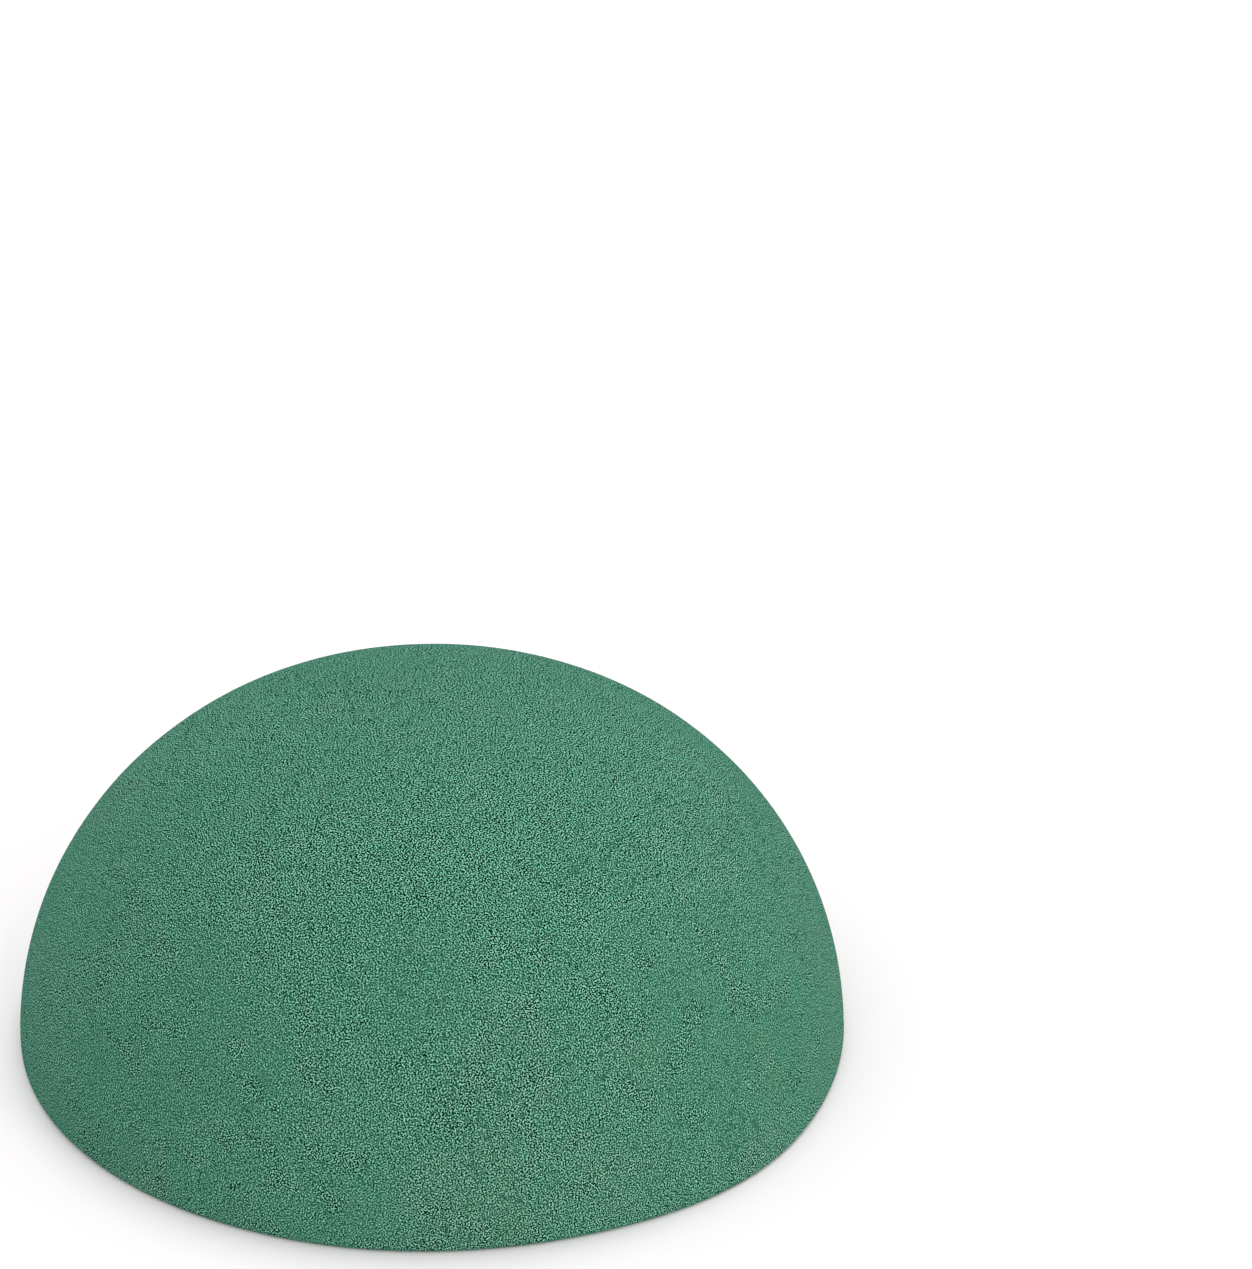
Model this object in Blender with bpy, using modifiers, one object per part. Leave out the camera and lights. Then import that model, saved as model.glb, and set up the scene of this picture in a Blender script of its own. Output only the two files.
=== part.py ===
"""A half ball of green floral foam, bonded to a thin waterproof backing plate.

The foam is a low, full-shouldered dome. Its underside is relieved for the backing plate, so that the foam's
own rim stands on the table and nothing but foam shows from above. Metres, +Z up, origin at the middle of the
underside. Every piece is turned about Z, and nothing on the object moves.
"""

import math

import bpy

# Foam half ball.
DOME_RADIUS = 0.095
DOME_HEIGHT = 0.084
SHOULDER = 2.32  # exponent of the radius: over 2 is a flatter crown
FLANK = 1.95  # exponent of the height: under 2 is a flank that leans in sooner
RIM_EASE = 0.0012  # the rubbed edge at the foot of the dome
DOME_ARC_STEPS = 22
RIM_ARC_STEPS = 3

# Backing plate, formed from thin sheet with its edge turned up into the foam.
PLATE_RADIUS = 0.0862
PLATE_SHEET = 0.0008
PLATE_LIP_HEIGHT = 0.0045
PLATE_CORNER = 0.0003

# Hot-melt adhesive, laid as two rings and pressed flat between plate and foam.
BEAD_RADII = {"adhesive_ring_outer": 0.068, "adhesive_ring_inner": 0.034}
BEAD_WIDTH = 0.006
BEAD_THICKNESS = 0.0009
BEAD_SHOULDER = 0.0003

CLEARANCE = 0.0003  # between pieces that touch
TURN_STEPS = 96
SHARP_ANGLE = math.radians(35)

# Linear RGB, roughness and metallic value of each material.
FINISHES = {
    "phenolic_foam": ((0.084, 0.238, 0.162), 0.95, 0.0),
    "polystyrene_sheet": ((0.028, 0.105, 0.062), 0.45, 0.0),
    "hot_melt_adhesive": ((0.72, 0.66, 0.50), 0.35, 0.0),
}


def clear_scene():
    for old in list(bpy.data.objects):
        bpy.data.objects.remove(old, do_unlink=True)


def new_collection(name):
    collection = bpy.data.collections.new(name)
    bpy.context.scene.collection.children.link(collection)
    return collection


def make_material(name):
    colour, roughness, metallic = FINISHES[name]
    material = bpy.data.materials.new(name)
    material.use_nodes = True
    shader = material.node_tree.nodes["Principled BSDF"]
    shader.inputs["Base Color"].default_value = (*colour, 1.0)
    shader.inputs["Roughness"].default_value = roughness
    shader.inputs["Metallic"].default_value = metallic
    return material


def turned(name, outline, closed, material, collection):
    """Turns an outline of (radius, height) points, which runs down its outer side, once about Z."""
    count = len(outline)
    edges = [(i, i + 1) for i in range(count - 1)]
    if closed:
        edges.append((count - 1, 0))
    mesh = bpy.data.meshes.new(name)
    mesh.from_pydata([(radius, 0.0, height) for radius, height in outline], edges, [])
    piece = bpy.data.objects.new(name, mesh)
    collection.objects.link(piece)
    screw = piece.modifiers.new("turn", "SCREW")
    screw.axis = "Z"
    screw.steps = TURN_STEPS
    screw.render_steps = TURN_STEPS
    screw.use_merge_vertices = True
    screw.merge_threshold = 0.00005
    bpy.context.view_layer.objects.active = piece
    bpy.ops.object.modifier_apply(modifier=screw.name)
    piece.data.shade_smooth()
    piece.data.set_sharp_from_angle(angle=SHARP_ANGLE)
    piece.data.materials.append(material)
    return piece


def dome_arc():
    """The outer side of the foam, from the crown down to its widest, then round the eased rim."""
    rise = DOME_HEIGHT - RIM_EASE
    points = [(0.0, DOME_HEIGHT)]
    for i in range(1, DOME_ARC_STEPS):
        turn = math.pi / 2 * (1 - i / DOME_ARC_STEPS)
        radius = DOME_RADIUS * math.cos(turn) ** (2 / SHOULDER)
        height = RIM_EASE + rise * math.sin(turn) ** (2 / FLANK)
        points.append((radius, height))
    for i in range(RIM_ARC_STEPS + 1):
        turn = math.pi / 2 * i / RIM_ARC_STEPS
        radius = DOME_RADIUS - RIM_EASE * (1 - math.cos(turn))
        height = RIM_EASE * (1 - math.sin(turn))
        points.append((radius, height))
    return points


def plate_seat():
    """The foam's underside, from the rim in to the axis: the slot for the lip, then a groove over each bead."""
    roof = PLATE_SHEET + CLEARANCE
    slot_outer = PLATE_RADIUS + CLEARANCE
    slot_inner = PLATE_RADIUS - PLATE_SHEET - CLEARANCE
    slot_top = PLATE_LIP_HEIGHT + CLEARANCE
    points = [(slot_outer, 0.0), (slot_outer, slot_top), (slot_inner, slot_top), (slot_inner, roof)]
    groove_top = roof + BEAD_THICKNESS + CLEARANCE
    for radius in sorted(BEAD_RADII.values(), reverse=True):
        outer = radius + BEAD_WIDTH / 2 + CLEARANCE
        inner = radius - BEAD_WIDTH / 2 - CLEARANCE
        points += [(outer, roof), (outer, groove_top), (inner, groove_top), (inner, roof)]
    points.append((0.0, roof))
    return points


def plate_outline():
    """The plate's turned-up lip and flat floor, as one sheet."""
    lip_inner = PLATE_RADIUS - PLATE_SHEET
    return [
        (0.0, PLATE_SHEET),
        (lip_inner, PLATE_SHEET),
        (lip_inner, PLATE_LIP_HEIGHT),
        (PLATE_RADIUS, PLATE_LIP_HEIGHT),
        (PLATE_RADIUS, PLATE_CORNER),
        (PLATE_RADIUS - PLATE_CORNER, 0.0),
        (0.0, 0.0),
    ]


def bead_outline(radius):
    """A pressed bead: flat above and below, with eased shoulders."""
    low = PLATE_SHEET + CLEARANCE
    high = low + BEAD_THICKNESS
    outer = radius + BEAD_WIDTH / 2
    inner = radius - BEAD_WIDTH / 2
    return [
        (inner, high - BEAD_SHOULDER),
        (inner + BEAD_SHOULDER, high),
        (outer - BEAD_SHOULDER, high),
        (outer, high - BEAD_SHOULDER),
        (outer, low + BEAD_SHOULDER),
        (outer - BEAD_SHOULDER, low),
        (inner + BEAD_SHOULDER, low),
        (inner, low + BEAD_SHOULDER),
    ]


def main():
    clear_scene()
    parts = new_collection("floral_foam_half_ball")
    materials = {name: make_material(name) for name in FINISHES}
    turned("foam_dome", dome_arc() + plate_seat(), False, materials["phenolic_foam"], parts)
    turned("backing_plate", plate_outline(), False, materials["polystyrene_sheet"], parts)
    for name, radius in BEAD_RADII.items():
        turned(name, bead_outline(radius), True, materials["hot_melt_adhesive"], parts)


main()
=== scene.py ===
"""Looks of a half ball of green floral foam that stands on a pale floor.

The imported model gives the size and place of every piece. The foam is rebuilt here as a fine surface with its
open grain, crumbled pores and rubbed rim, and the backing plate and its adhesive get their own finishes.
Metres, +Z up.
"""

import math
import random

import bpy
import numpy as np
from mathutils import Euler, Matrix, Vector
from mathutils.kdtree import KDTree


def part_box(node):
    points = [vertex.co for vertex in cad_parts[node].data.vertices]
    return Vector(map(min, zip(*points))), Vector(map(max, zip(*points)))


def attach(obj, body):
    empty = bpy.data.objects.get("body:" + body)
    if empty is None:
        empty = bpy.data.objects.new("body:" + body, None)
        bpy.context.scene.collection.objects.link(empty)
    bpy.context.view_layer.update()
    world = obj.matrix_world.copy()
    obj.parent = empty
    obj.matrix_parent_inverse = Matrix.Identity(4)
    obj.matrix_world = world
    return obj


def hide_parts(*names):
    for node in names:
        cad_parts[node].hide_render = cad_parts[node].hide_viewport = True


MM = 0.001

# Foam surface, cut as a low dome with full shoulders.
SHOULDER = 2.32
FLANK = 1.95
RIM_EASE = 1.2 * MM
GRID = 500
PROFILE_STEPS = 4000
EASE_STEPS = 100

# Flat layout of the foam: middle and radius of the skin's disc and of the underside's.
LAYOUT = "OFBake"
SKIN_DISC = ((0.468, 0.532), 0.464)
UNDERSIDE_DISC = ((0.886, 0.114), 0.110)

# Seat for the backing plate in the foam's underside.
FIT_GAP = 0.3 * MM
PLATE_SHEET = 0.8 * MM
BEAD_WIDTH = 6.0 * MM

# Relief of the cut foam: (wavelength, height). It fades in, in steps, over the lowest few millimetres.
SWELL = (55 * MM, 0.55 * MM)
LUMPS = (5.0 * MM, 0.025 * MM)
CRUMB = (1.5 * MM, 0.07 * MM)
RELIEF_FADE = 4 * MM
RELIEF_FADE_STEPS = 20

# Pores, where a few cells have crumbled away. They sink towards a point below the dome, and fade out at the
# foot.
PORE_CLUSTERS = 110
PORES_EACH = 16
CLUSTER_SPREAD = 6 * MM
PORE_RADIUS = (0.45 * MM, 0.8 * MM)
PORE_DEPTH = (0.15 * MM, 0.4 * MM)
PORE_SINK = -0.25  # height of that point, in dome heights
PORE_FADE = 3 * MM
PORE_SEED = 7

# Grain of the cut foam. The real cells are 0.1 to 0.3 mm, too fine to show, so they are drawn about 0.7 mm
# apart. A cell stands out by its difference from those a short way off, and the tilt keeps them out of rows.
CELL_SIZE = 0.36 * MM
CELL_REACH = 0.29 * MM
CELL_EDGE = 0.65
CELL_NEIGHBOURS = 5
CELL_TILT = Euler((0.6, 0.4, 0.9))

# Rough patches, a few centimetres wide: where in the cast block they were cut through, and the contrast of
# their grain.
ROUGH_PATCHES = (36 * MM, 595 * MM, 787 * MM)
ROUGH_SIZE = 38 * MM
ROUGH_CONTRAST = {"From Min": 0.35, "From Max": 0.62, "To Min": 1.53, "To Max": 2.4}

# Scuffs, where the rasp tore the cells deeper: patches of a few millimetres.
SCUFF_SIZE = 9 * MM
SCUFF_AREA = {"From Min": 0.52, "From Max": 0.67}
SCUFF_CONTRAST = 1.9

# The crown was rasped hardest: the heights over which that sets in, and what it adds to the contrast.
CROWN_HEIGHTS = {"From Min": 50 * MM, "From Max": 80 * MM}
CROWN_CONTRAST = 1.05

# Middle tone of the foam, and how far more contrast and a scuff let it down.
MIDDLE_TONE = 0.56
CONTRAST_TONE = -0.03
SCUFF_TONE = -0.045

# Dust of crushed cells: where in the block its patches were cut through, and how it thins out with height.
DUST_PATCHES = (438 * MM, 1824 * MM, 1814 * MM)
DUST_SIZE = 26 * MM
DUST_AREA = {"From Min": 0.50, "From Max": 0.66}
DUST_BY_HEIGHT = {"From Min": 25 * MM, "From Max": 70 * MM, "To Min": 1.0, "To Max": 0.3}

# Colours of the foam, from the bottom of a cell to its torn edge, then painted shade inside a crumbled pore.
# Over the cells' own tone, the darkest are painted shade in the cells' hollows and the lightest a painted
# highlight on their torn edges.
CELL_TONES_SHADE_HIGHLIGHT = ((0.0, "#00180A"), (0.3, "#19513C"), (0.5, "#3A705A"), (0.7, "#578E78"), (1.0, "#83C1AA"))
# Painted shade: the dark green that the pores turn to, deeper in.
PORE_SHADE_GREEN = "#2A5E4A"

# What dust and fresh rasping multiply the foam's colour by, in linear RGBA.
DUST_CAST = (1.15, 1.0, 1.0, 1.0)
CROWN_CAST = (0.90, 1.0, 0.97, 1.0)

# Sockets of a Mix node that mixes colours.
MIX_A = 6
MIX_B = 7
MIX_RESULT = 2

# The foot is a little out of round: (azimuth, spread, growth).
FULL_FOOT = (math.radians(-43), math.radians(14), 2.3 * MM)
FULL_FOOT_HEIGHT = 35 * MM

# Camera, as a long lens from a little above the table.
VIEW_ELEVATION = math.radians(31.63)
VIEW_DISTANCE = 20.0  # in dome radii
AIM = (0.525, 1.966)  # in dome radii, along X and Y from the dome's centre
LENS_MM = 232.8
FAR_CLIP = 100.0

# Light: a sky that is brighter low down, and two far softboxes, each with its direction, the angle that it
# fills, its strength and its colour.
SKY_STRENGTH = {"horizon": 1.04, "zenith": 0.84}
SOFTBOXES = {
    "key": ((0.06, 0.28, 0.96), math.radians(32), 0.90, "#FFFFFF"),
    "fill": ((0.66, -0.73, 0.17), math.radians(17), 0.97, "#FFF4F0"),
}

# Floor, wide enough to fill every view, and just clear of the underside.
FLOOR_HALF = 30.0
FLOOR_DROP = 0.1 * MM


# ---------------------------------------------------------------- foam mesh


def dome_profile(radius, height):
    """Points (radius, height) down the foam's outer side, closely spaced, from the crown to its foot."""
    rise = height - RIM_EASE
    turn = np.linspace(math.pi / 2, 0, PROFILE_STEPS)
    side_r = radius * np.cos(turn) ** (2 / SHOULDER)
    side_z = RIM_EASE + rise * np.sin(turn) ** (2 / FLANK)
    side_r[0] = 0.0
    ease = np.linspace(0, math.pi / 2, EASE_STEPS)[1:]
    foot_r = radius - RIM_EASE * (1 - np.cos(ease))
    foot_z = RIM_EASE * (1 - np.sin(ease))
    return np.concatenate([side_r, foot_r]), np.concatenate([side_z, foot_z])


def disc_grid(steps):
    """A square grid bent onto the unit disc without changing any area: (radius, angle) of each point."""
    line = np.linspace(-1, 1, steps + 1)
    a, b = np.meshgrid(line, line, indexing="ij")
    wide = np.abs(a) > np.abs(b)
    long = np.where(wide, a, b)
    short = np.where(wide, b, a)
    share = np.divide(short, long, out=np.zeros_like(short), where=long != 0)
    angle = np.where(wide, share * math.pi / 4, math.pi / 2 - share * math.pi / 4)
    angle = angle + np.where(long < 0, math.pi, 0.0)
    return np.abs(long), angle


def grid_edge(steps):
    """Indices of the grid's outer points, once round."""
    row = steps + 1
    low = [i * row for i in range(steps)]
    right = [steps * row + j for j in range(steps)]
    high = [(steps - i) * row + steps for i in range(steps)]
    left = [steps - j for j in range(steps)]
    return low + right + high + left


def seat_outline(plate_radius, lip_height, bead_radii, bead_height):
    """The underside from the foot inwards: the slot for the plate's lip, then a groove over each bead.

    The radii are the outer ones, and the heights are those of the tops.
    """
    roof = PLATE_SHEET + FIT_GAP
    outer = plate_radius + FIT_GAP
    inner = plate_radius - PLATE_SHEET - FIT_GAP
    top = lip_height + FIT_GAP
    points = [(outer, 0.0), (outer, top), (inner, top), (inner, roof)]
    groove = bead_height + FIT_GAP
    for bead in sorted(bead_radii, reverse=True):
        near = bead - BEAD_WIDTH - FIT_GAP
        far = bead + FIT_GAP
        points += [(far, roof), (far, groove), (near, groove), (near, roof)]
    return points


def foam_mesh(radius, height, seat):
    """A closed skin of even quads over the dome, joined at its foot to the underside and the plate's seat."""
    profile_r, profile_z = dome_profile(radius, height)
    step = np.hypot(np.diff(profile_r), np.diff(profile_z))
    ring = (profile_r[1:] + profile_r[:-1]) / 2 * step
    covered = np.concatenate([[0.0], np.cumsum(ring)]) / ring.sum()
    share, angle = disc_grid(GRID)
    r = np.interp(share**2, covered, profile_r)
    z = np.interp(share**2, covered, profile_z)
    azimuth, spread, growth = FULL_FOOT
    turn = np.angle(np.exp(1j * (angle - azimuth)))
    bulge = growth * np.exp(-((turn / spread) ** 2) / 2)
    r = r + bulge * np.clip(1 - z / FULL_FOOT_HEIGHT, 0, 1) ** 2 * share**2
    skin = np.stack([r * np.cos(angle), r * np.sin(angle), z], axis=-1).reshape(-1, 3)
    edge = grid_edge(GRID)
    edge_angle = angle.reshape(-1)[edge]
    points = [skin]
    for seat_r, seat_z in seat:
        level = np.full(len(edge), seat_z)
        points.append(np.stack([seat_r * np.cos(edge_angle), seat_r * np.sin(edge_angle), level], axis=-1))
    points.append(np.array([[0.0, 0.0, seat[-1][1]]]))

    row = GRID + 1
    corner = (np.arange(GRID)[:, None] * row + np.arange(GRID)[None, :]).reshape(-1)
    quads = np.stack([corner, corner + row, corner + row + 1, corner + 1], axis=-1).tolist()
    rings = [edge]
    for i in range(len(seat)):
        start = len(skin) + i * len(edge)
        rings.append(list(range(start, start + len(edge))))
    centre = len(skin) + len(seat) * len(edge)
    for upper, lower in zip(rings, rings[1:]):
        for k in range(len(edge)):
            after = (k + 1) % len(edge)
            quads.append([upper[k], lower[k], lower[after], upper[after]])
    for k in range(len(edge)):
        quads.append([rings[-1][k], centre, rings[-1][(k + 1) % len(edge)]])

    mesh = bpy.data.meshes.new("foam_half_ball")
    mesh.from_pydata(np.concatenate(points).tolist(), [], quads)
    flat_layout(mesh, share.reshape(-1), angle.reshape(-1), edge_angle, seat)
    return mesh, len(skin)


def flat_layout(mesh, share, angle, edge_angle, seat):
    """Lays the skin out flat as one disc, without changing any area, and the underside as a small one."""
    reach = np.concatenate([[seat[0][0]], np.hypot(*np.diff(np.array(seat), axis=0).T), [seat[-1][0]]])
    reach = 1 - np.cumsum(reach) / reach.sum()
    ring_angle = np.tile(edge_angle, len(seat))
    ring_reach = np.repeat(reach[: len(seat)], len(edge_angle))
    (u, v), size = SKIN_DISC
    skin = np.stack([u + size * share * np.cos(angle), v + size * share * np.sin(angle)], axis=-1)
    (u, v), size = UNDERSIDE_DISC
    out = size * ring_reach
    below = np.stack([u + out * np.cos(ring_angle), v + out * np.sin(ring_angle)], axis=-1)
    foot = skin.copy()
    edge = grid_edge(GRID)
    foot[edge] = np.stack([u + size * np.cos(edge_angle), v + size * np.sin(edge_angle)], axis=-1)
    layout = mesh.uv_layers.new(name=LAYOUT)
    corner = np.empty(len(mesh.loops), np.int32)
    mesh.loops.foreach_get("vertex_index", corner)
    upper = np.concatenate([skin, below, [[u, v]]])
    lower = np.concatenate([foot, below, [[u, v]]])
    on_skin = np.arange(len(corner)) < 4 * GRID * GRID  # its quads come first
    place = np.where(on_skin[:, None], upper[corner], lower[corner])
    layout.data.foreach_set("uv", place.astype(np.float32).reshape(-1))


def crumble(mesh, skin_count, height):
    """Sinks clusters of small pores into the skin, and returns how deep in a pore each point is, 0 to 1."""
    draw = random.Random(PORE_SEED)
    points = np.empty(len(mesh.vertices) * 3, np.float32)
    mesh.vertices.foreach_get("co", points)
    points = points.reshape(-1, 3)
    tree = KDTree(skin_count)
    for i in range(skin_count):
        tree.insert(points[i], i)
    tree.balance()
    inner = np.array([0.0, 0.0, height * PORE_SINK])
    depth = np.zeros(len(points))
    for _ in range(PORE_CLUSTERS):
        heart = points[draw.randrange(skin_count)]
        for _ in range(PORES_EACH):
            spot = Vector([c + draw.gauss(0, CLUSTER_SPREAD) for c in heart])
            spot = tree.find(spot)[0]
            size = draw.uniform(*PORE_RADIUS)
            deep = draw.uniform(*PORE_DEPTH)
            for _, i, away in tree.find_range(spot, size):
                depth[i] = max(depth[i], deep * (1 - (away / size) ** 2))
    inward = inner - points
    inward /= np.linalg.norm(inward, axis=1)[:, None]
    keep = np.clip(points[:, 2] / PORE_FADE, 0, 1)
    points = points + inward * (depth * keep)[:, None]
    mesh.vertices.foreach_set("co", points.astype(np.float32).reshape(-1))
    return depth * keep / PORE_DEPTH[1]


def relief(piece, name, basis, shape, depth=1):
    """Raises the skin by a noise of that wavelength and height."""
    wavelength, rise = shape
    texture = bpy.data.textures.new(name, "CLOUDS")
    texture.noise_basis = basis
    texture.noise_scale = wavelength
    texture.noise_depth = depth
    modifier = piece.modifiers.new(name, "DISPLACE")
    modifier.texture = texture
    modifier.texture_coords = "LOCAL"
    modifier.mid_level = 0.5
    modifier.strength = rise
    modifier.vertex_group = "skin"


def make_foam(material):
    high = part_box("foam_dome")[1]
    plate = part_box("backing_plate")[1]
    beads = [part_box(name)[1] for name in ("adhesive_ring_outer", "adhesive_ring_inner")]
    seat = seat_outline(plate.x, plate.z, [bead.x for bead in beads], beads[0].z)
    mesh, skin_count = foam_mesh(high.x, high.z, seat)
    pore = crumble(mesh, skin_count, high.z)
    piece = bpy.data.objects.new("foam_half_ball", mesh)
    bpy.context.scene.collection.objects.link(piece)
    attribute = mesh.attributes.new("pore", "FLOAT", "POINT")
    attribute.data.foreach_set("value", pore.astype(np.float32))
    group = piece.vertex_groups.new(name="skin")
    heights = [v.co.z for v in mesh.vertices][:skin_count]
    levels = [math.ceil(min(z / RELIEF_FADE, 1) * RELIEF_FADE_STEPS) for z in heights]
    for step in range(1, RELIEF_FADE_STEPS + 1):
        members = [i for i, level in enumerate(levels) if level == step]
        group.add(members, step / RELIEF_FADE_STEPS, "REPLACE")
    relief(piece, "swell", "ORIGINAL_PERLIN", SWELL)
    relief(piece, "lumps", "ORIGINAL_PERLIN", LUMPS, depth=2)
    relief(piece, "crumb", "VORONOI_F1", CRUMB)
    graph = bpy.context.evaluated_depsgraph_get()
    shaped = bpy.data.meshes.new_from_object(piece.evaluated_get(graph), depsgraph=graph)
    piece.modifiers.clear()
    piece.data = shaped
    shaped.name = "foam_half_ball"
    bpy.data.meshes.remove(mesh)
    shaped.shade_smooth()
    shaped.materials.clear()
    shaped.materials.append(material)
    return piece


# ---------------------------------------------------------------- materials


def linear(code):
    """An sRGB hex colour as linear RGBA."""
    values = []
    for i in (1, 3, 5):
        c = int(code[i : i + 2], 16) / 255
        values.append(c / 12.92 if c <= 0.04045 else ((c + 0.055) / 1.055) ** 2.4)
    return (*values, 1.0)


def add(tree, kind, inputs=None, **settings):
    """Adds a node with its settings, and links or sets its inputs."""
    node = tree.nodes.new("ShaderNode" + kind)
    for name, value in settings.items():
        setattr(node, name, value)
    for name, value in (inputs or {}).items():
        if isinstance(value, bpy.types.NodeSocket):
            tree.links.new(value, node.inputs[name])
        else:
            node.inputs[name].default_value = value
    return node


def new_material(name):
    material = bpy.data.materials.new(name)
    material.use_nodes = True
    tree = material.node_tree
    return material, tree, tree.nodes["Principled BSDF"]


def opened_cells(tree, place):
    """Noise less its own average a short way off along the surface, so that cells show and no cloud does."""
    normal = add(tree, "NewGeometry").outputs["Normal"]
    upright = CELL_TILT.to_matrix() @ Vector((0.0, 0.0, 1.0))
    tilt = tuple(CELL_TILT)
    place = add(
        tree, "VectorRotate", {"Vector": place, "Rotation": tilt}, rotation_type="EULER_XYZ"
    ).outputs[0]
    normal = add(
        tree, "VectorRotate", {"Vector": normal, "Rotation": tilt}, rotation_type="EULER_XYZ"
    ).outputs[0]
    level = add(tree, "VectorMath", {0: normal, 1: tuple(upright)}, operation="CROSS_PRODUCT").outputs[0]
    level = add(tree, "VectorMath", {0: level}, operation="NORMALIZE").outputs[0]
    slope = add(tree, "VectorMath", {0: normal, 1: level}, operation="CROSS_PRODUCT").outputs[0]
    middle = add(tree, "TexNoise", {"Vector": place, "Scale": 1 / CELL_SIZE, "Detail": 0.0}).outputs["Fac"]
    # The noise is 0.5 on average, and this takes the average of the difference to 0.
    height = add(tree, "Math", {0: middle, 1: 0.5 * (1 - CELL_EDGE)}, operation="SUBTRACT").outputs[0]
    for i in range(CELL_NEIGHBOURS):
        turn = 2 * math.pi * i / CELL_NEIGHBOURS
        spot = place
        for way, share in ((level, math.cos(turn)), (slope, math.sin(turn))):
            step = (share * CELL_REACH,) * 3
            spot = add(tree, "VectorMath", {0: way, 1: step, 2: spot}, operation="MULTIPLY_ADD").outputs[0]
        beside = add(tree, "TexNoise", {"Vector": spot, "Scale": 1 / CELL_SIZE, "Detail": 0.0}).outputs["Fac"]
        height = add(
            tree, "Math", {0: beside, 1: -CELL_EDGE / CELL_NEIGHBOURS, 2: height}, operation="MULTIPLY_ADD"
        ).outputs[0]
    return height


def cut_phenolic_foam():
    """Phenolic foam, sawn and rasped to shape: dead matt and sandy with opened cells, patchy where rubbed."""
    material, tree, shader = new_material("cut_phenolic_foam")
    place = add(tree, "TexCoord").outputs["Object"]
    grain = opened_cells(tree, place)
    shifted = add(tree, "VectorMath", {0: place, 1: ROUGH_PATCHES}, operation="ADD").outputs[0]
    rough = add(
        tree, "TexNoise", {"Vector": shifted, "Scale": 1 / ROUGH_SIZE, "Detail": 1.0}
    ).outputs["Fac"]
    contrast = add(tree, "MapRange", {"Value": rough, **ROUGH_CONTRAST}).outputs["Result"]
    scuff = add(
        tree, "TexNoise", {"Vector": place, "Scale": 1 / SCUFF_SIZE, "Detail": 2.0, "Roughness": 0.6}
    ).outputs["Fac"]
    scuff = add(
        tree, "MapRange", {"Value": scuff, **SCUFF_AREA}, interpolation_type="SMOOTHSTEP"
    ).outputs["Result"]
    contrast = add(
        tree, "Math", {0: scuff, 1: SCUFF_CONTRAST, 2: contrast}, operation="MULTIPLY_ADD"
    ).outputs[0]
    height = add(tree, "SeparateXYZ", {"Vector": place}).outputs["Z"]
    crown = add(
        tree, "MapRange", {"Value": height, **CROWN_HEIGHTS}, interpolation_type="SMOOTHSTEP"
    ).outputs["Result"]
    rasped = add(tree, "Math", {0: crown, 1: CROWN_CONTRAST, 2: 1.0}, operation="MULTIPLY_ADD").outputs[0]
    contrast = add(tree, "Math", {0: contrast, 1: rasped}, operation="MULTIPLY").outputs[0]
    # Deeper painted shade in the hollows and brighter painted highlights on the edges would lighten it on the
    # whole, so the middle tone is let down to suit.
    tone = add(
        tree, "Math", {0: contrast, 1: CONTRAST_TONE, 2: MIDDLE_TONE}, operation="MULTIPLY_ADD"
    ).outputs[0]
    tone = add(tree, "Math", {0: scuff, 1: SCUFF_TONE, 2: tone}, operation="MULTIPLY_ADD").outputs[0]
    uneven = add(tree, "Math", {0: grain, 1: contrast, 2: tone}, operation="MULTIPLY_ADD").outputs[0]
    # The grain sets both the colour and the bump: besides the cells' own tone, its low places get painted
    # shade and its crests a painted highlight.
    ramp = add(tree, "ValToRGB", {"Fac": uneven})
    for _ in range(len(CELL_TONES_SHADE_HIGHLIGHT) - 2):
        ramp.color_ramp.elements.new(0.5)
    for element, (position, code) in zip(ramp.color_ramp.elements, CELL_TONES_SHADE_HIGHLIGHT):
        element.position = position
        element.color = linear(code)
    # The dust turns the green a little greyer.
    dustiest = add(tree, "MapRange", {"Value": height, **DUST_BY_HEIGHT}).outputs["Result"]
    shifted = add(tree, "VectorMath", {0: place, 1: DUST_PATCHES}, operation="ADD").outputs[0]
    dust = add(
        tree, "TexNoise", {"Vector": shifted, "Scale": 1 / DUST_SIZE, "Detail": 3.0, "Roughness": 0.6}
    ).outputs["Fac"]
    dust = add(
        tree, "MapRange", {"Value": dust, "To Max": dustiest, **DUST_AREA}, interpolation_type="SMOOTHSTEP"
    ).outputs["Result"]
    dusty = add(
        tree, "Mix", {"Factor": dust, MIX_A: ramp.outputs["Color"], MIX_B: DUST_CAST},
        data_type="RGBA", blend_type="MULTIPLY",
    ).outputs[MIX_RESULT]
    # Freshly rasped foam is a slightly cooler green.
    fresh = add(
        tree, "Mix", {"Factor": crown, MIX_A: dusty, MIX_B: CROWN_CAST},
        data_type="RGBA", blend_type="MULTIPLY",
    ).outputs[MIX_RESULT]
    # Painted shade in the pores: the deeper a point lies in a pore, the more its colour goes to the dark
    # green.
    pore = add(tree, "Attribute", attribute_name="pore").outputs["Fac"]
    shaded = add(
        tree, "Mix", {"Factor": pore, MIX_A: fresh, MIX_B: linear(PORE_SHADE_GREEN)}, data_type="RGBA"
    ).outputs[MIX_RESULT]
    tree.links.new(shaded, shader.inputs["Base Color"])
    bump = add(tree, "Bump", {"Height": uneven, "Strength": 0.3, "Distance": 0.12 * MM})
    tree.links.new(bump.outputs["Normal"], shader.inputs["Normal"])
    shader.inputs["Roughness"].default_value = 0.95
    shader.inputs["Specular IOR Level"].default_value = 0.0
    return material


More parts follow.
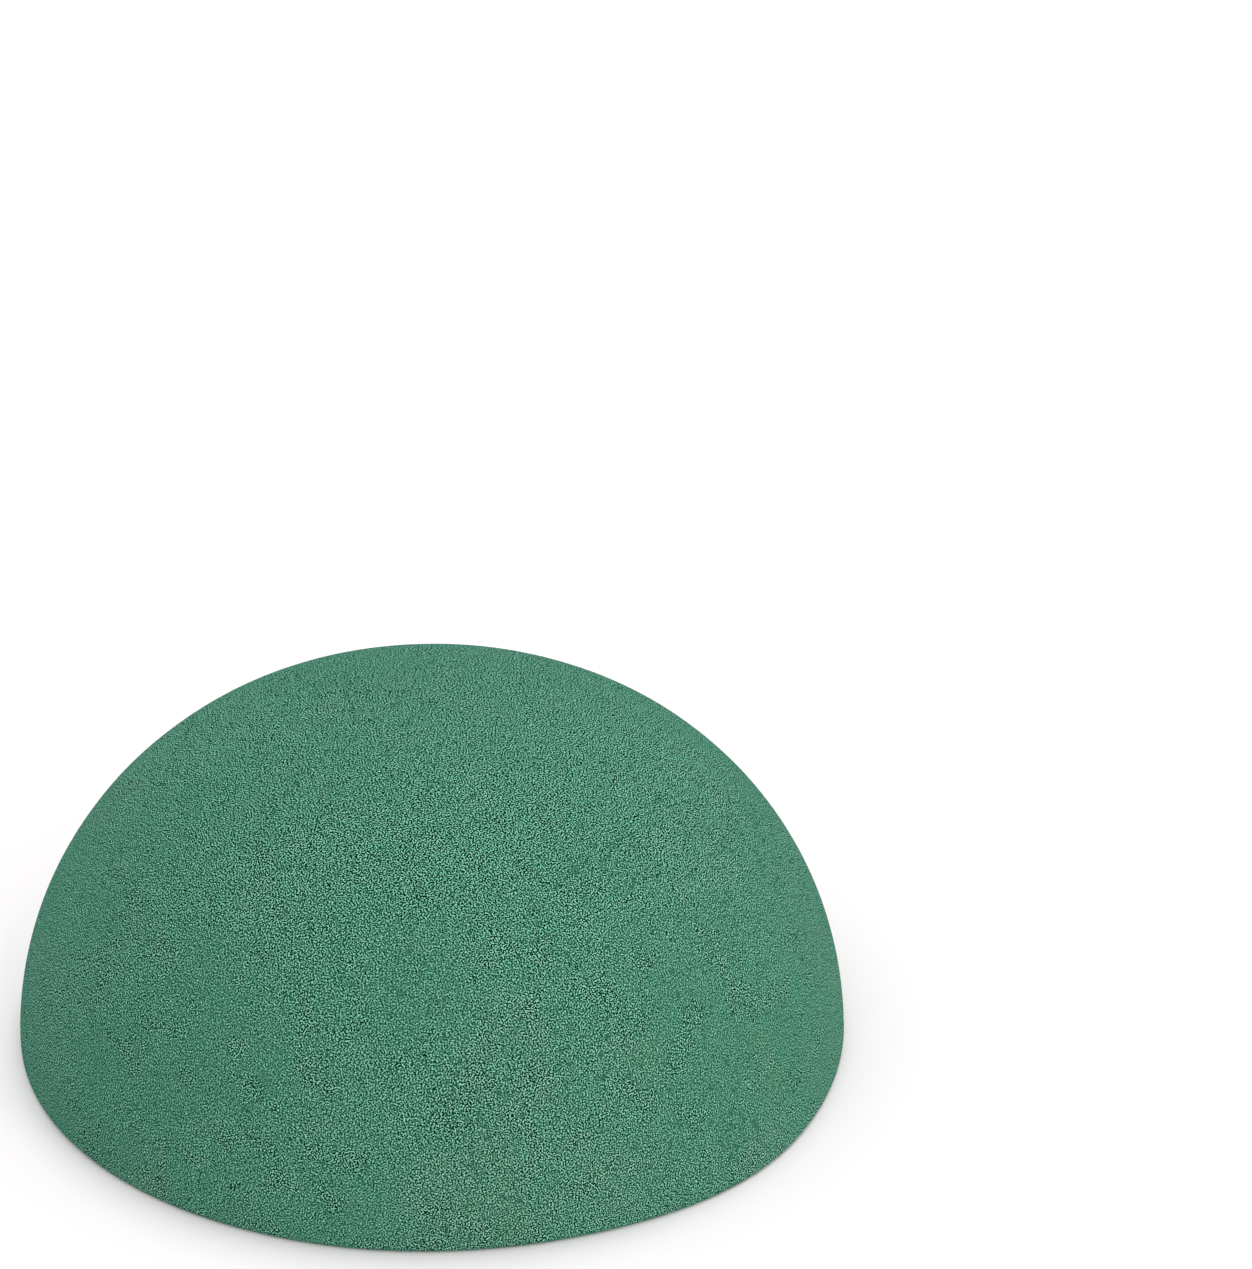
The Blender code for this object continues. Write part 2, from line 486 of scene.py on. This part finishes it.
def formed_polystyrene():
    """Thin polystyrene sheet, warmed and drawn over a former: satin, with a faint orange peel."""
    material, tree, shader = new_material("formed_polystyrene")
    place = add(tree, "TexCoord").outputs["Object"]
    peel = add(tree, "TexNoise", {"Vector": place, "Scale": 1 / (1.2 * MM), "Detail": 2.0}).outputs["Fac"]
    cloud = add(tree, "TexNoise", {"Vector": place, "Scale": 1 / (22 * MM), "Detail": 2.0}).outputs["Fac"]
    tint = add(
        tree, "Mix", {"Factor": cloud, MIX_A: linear("#2B5C48"), MIX_B: linear("#376B56")}, data_type="RGBA"
    ).outputs[MIX_RESULT]
    tree.links.new(tint, shader.inputs["Base Color"])
    gloss = add(
        tree, "MapRange", {"Value": cloud, "From Min": 0.3, "From Max": 0.7, "To Min": 0.38, "To Max": 0.52}
    ).outputs["Result"]
    tree.links.new(gloss, shader.inputs["Roughness"])
    bump = add(tree, "Bump", {"Height": peel, "Strength": 0.2, "Distance": 0.05 * MM})
    tree.links.new(bump.outputs["Normal"], shader.inputs["Normal"])
    return material


def hot_melt_adhesive():
    """Hot-melt adhesive, pressed flat while it was soft: cloudy amber with a waxy shine."""
    material, tree, shader = new_material("hot_melt_adhesive")
    place = add(tree, "TexCoord").outputs["Object"]
    cloud = add(tree, "TexNoise", {"Vector": place, "Scale": 1 / (4 * MM), "Detail": 3.0}).outputs["Fac"]
    tint = add(
        tree, "Mix", {"Factor": cloud, MIX_A: linear("#C9B98C"), MIX_B: linear("#E4D9B8")}, data_type="RGBA"
    ).outputs[MIX_RESULT]
    tree.links.new(tint, shader.inputs["Base Color"])
    bump = add(tree, "Bump", {"Height": cloud, "Strength": 0.3, "Distance": 0.1 * MM})
    tree.links.new(bump.outputs["Normal"], shader.inputs["Normal"])
    shader.inputs["Roughness"].default_value = 0.32
    return material


def matt_white_board():
    """Painted board: plain, and a little warm, which evens out the green that the foam throws on it."""
    material, _, shader = new_material("matt_white_board")
    shader.inputs["Base Color"].default_value = linear("#F7F3F5")
    shader.inputs["Roughness"].default_value = 0.9
    shader.inputs["Specular IOR Level"].default_value = 0.0
    return material


# ---------------------------------------------------------------- stage


def make_floor():
    half = FLOOR_HALF
    corners = [(-half, -half, 0), (half, -half, 0), (half, half, 0), (-half, half, 0)]
    mesh = bpy.data.meshes.new("floor")
    mesh.from_pydata(corners, [], [(0, 1, 2, 3)])
    floor = bpy.data.objects.new("floor", mesh)
    floor.location.z = -FLOOR_DROP
    bpy.context.scene.collection.objects.link(floor)
    mesh.materials.append(matt_white_board())


def make_light():
    world = bpy.data.worlds.new("studio")
    bpy.context.scene.world = world
    world.use_nodes = True
    tree = world.node_tree
    way = add(tree, "TexCoord").outputs["Generated"]
    height = add(tree, "SeparateXYZ", {"Vector": way}).outputs["Z"]
    strength = add(
        tree, "MapRange",
        {"Value": height, "To Min": SKY_STRENGTH["horizon"], "To Max": SKY_STRENGTH["zenith"]},
    ).outputs["Result"]
    sky = tree.nodes["Background"]
    sky.inputs["Color"].default_value = (1.0, 1.0, 1.0, 1.0)
    tree.links.new(strength, sky.inputs["Strength"])
    for name, (direction, angle, power, tint) in SOFTBOXES.items():
        lamp = bpy.data.lights.new(name, "SUN")
        lamp.angle = angle
        lamp.energy = power
        lamp.color = linear(tint)[:3]
        softbox = bpy.data.objects.new(name, lamp)
        softbox.location = Vector(direction)
        softbox.rotation_euler = Vector(direction).to_track_quat("Z", "Y").to_euler()
        bpy.context.scene.collection.objects.link(softbox)


def make_camera(radius):
    data = bpy.data.cameras.new("camera")
    data.lens = LENS_MM
    data.clip_end = FAR_CLIP
    camera = bpy.data.objects.new("camera", data)
    away = Vector((0.0, -math.cos(VIEW_ELEVATION), math.sin(VIEW_ELEVATION)))
    camera.location = away * VIEW_DISTANCE * radius
    aim = Vector((AIM[0] * radius, AIM[1] * radius, 0.0))
    camera.rotation_euler = (camera.location - aim).to_track_quat("Z", "Y").to_euler()
    bpy.context.scene.collection.objects.link(camera)
    bpy.context.scene.camera = camera


# ---------------------------------------------------------------- build

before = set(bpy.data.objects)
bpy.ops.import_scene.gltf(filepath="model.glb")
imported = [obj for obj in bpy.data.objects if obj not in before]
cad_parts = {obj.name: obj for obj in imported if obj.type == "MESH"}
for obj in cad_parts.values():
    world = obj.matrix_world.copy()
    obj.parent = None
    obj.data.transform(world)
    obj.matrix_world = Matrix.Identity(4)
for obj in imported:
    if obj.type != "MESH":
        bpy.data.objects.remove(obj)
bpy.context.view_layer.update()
dome_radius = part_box("foam_dome")[1].x

bpy.context.scene.view_settings.view_transform = "Standard"
make_camera(dome_radius)
make_light()
make_floor()

foam = make_foam(cut_phenolic_foam())
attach(foam, "root")
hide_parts("foam_dome")

finishes = {"backing_plate": formed_polystyrene()}
adhesive = hot_melt_adhesive()
finishes["adhesive_ring_outer"] = adhesive
finishes["adhesive_ring_inner"] = adhesive
for name, material in finishes.items():
    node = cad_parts[name]
    node.data.materials.clear()
    node.data.materials.append(material)
